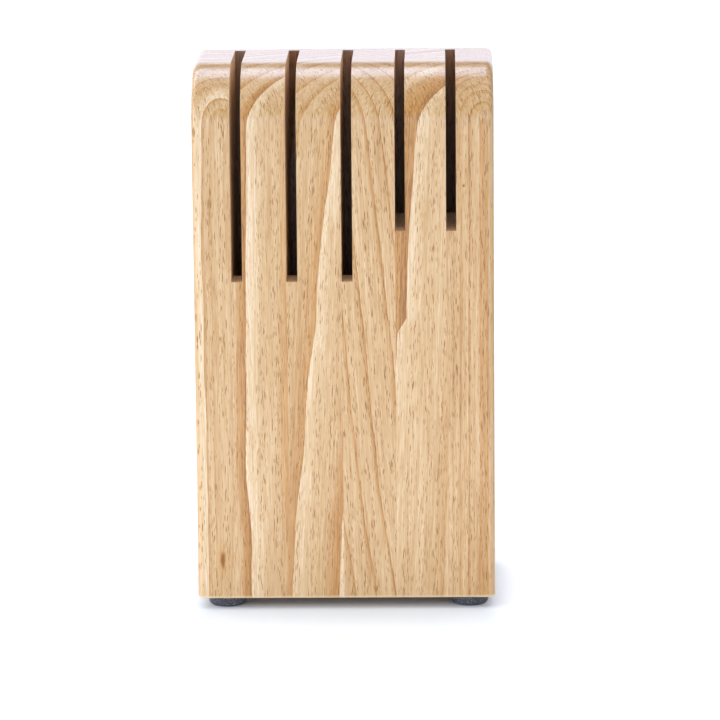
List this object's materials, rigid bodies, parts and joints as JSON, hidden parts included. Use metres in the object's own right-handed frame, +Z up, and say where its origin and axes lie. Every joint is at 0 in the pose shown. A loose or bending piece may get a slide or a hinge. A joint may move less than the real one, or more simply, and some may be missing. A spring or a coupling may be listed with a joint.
{
  "type": "knife block",
  "caption": "Upright knife block of glued beech staves with long and short blade slots open at the front and the top, on round screwed-on rubber feet.",
  "frame": {"origin": "middle of the footprint, on the surface that the block stands on", "axes": "+Z up, -Y towards the front where the slots are open, +X to the right seen from the front"},
  "size_m": [0.125, 0.087, 0.2286],
  "materials": {
    "beech": "satin",
    "rubber": "matte",
    "zinc_plated_steel": "satin"
  },
  "bodies": {
    "root": {"stave_1_left_end": "beech", "stave_2_long_slot": "beech", "stave_3_long_slot": "beech", "stave_4_long_slot": "beech", "stave_5_short_slot": "beech", "stave_6_right_end": "beech", "foot_front_left": "rubber", "foot_front_right": "rubber", "foot_rear_left": "rubber", "foot_rear_right": "rubber", "washer_front_left": "zinc_plated_steel", "washer_front_right": "zinc_plated_steel", "washer_rear_left": "zinc_plated_steel", "washer_rear_right": "zinc_plated_steel", "screw_front_left": "zinc_plated_steel", "screw_front_right": "zinc_plated_steel", "screw_rear_left": "zinc_plated_steel", "screw_rear_right": "zinc_plated_steel"}
  },
  "joints": []
}
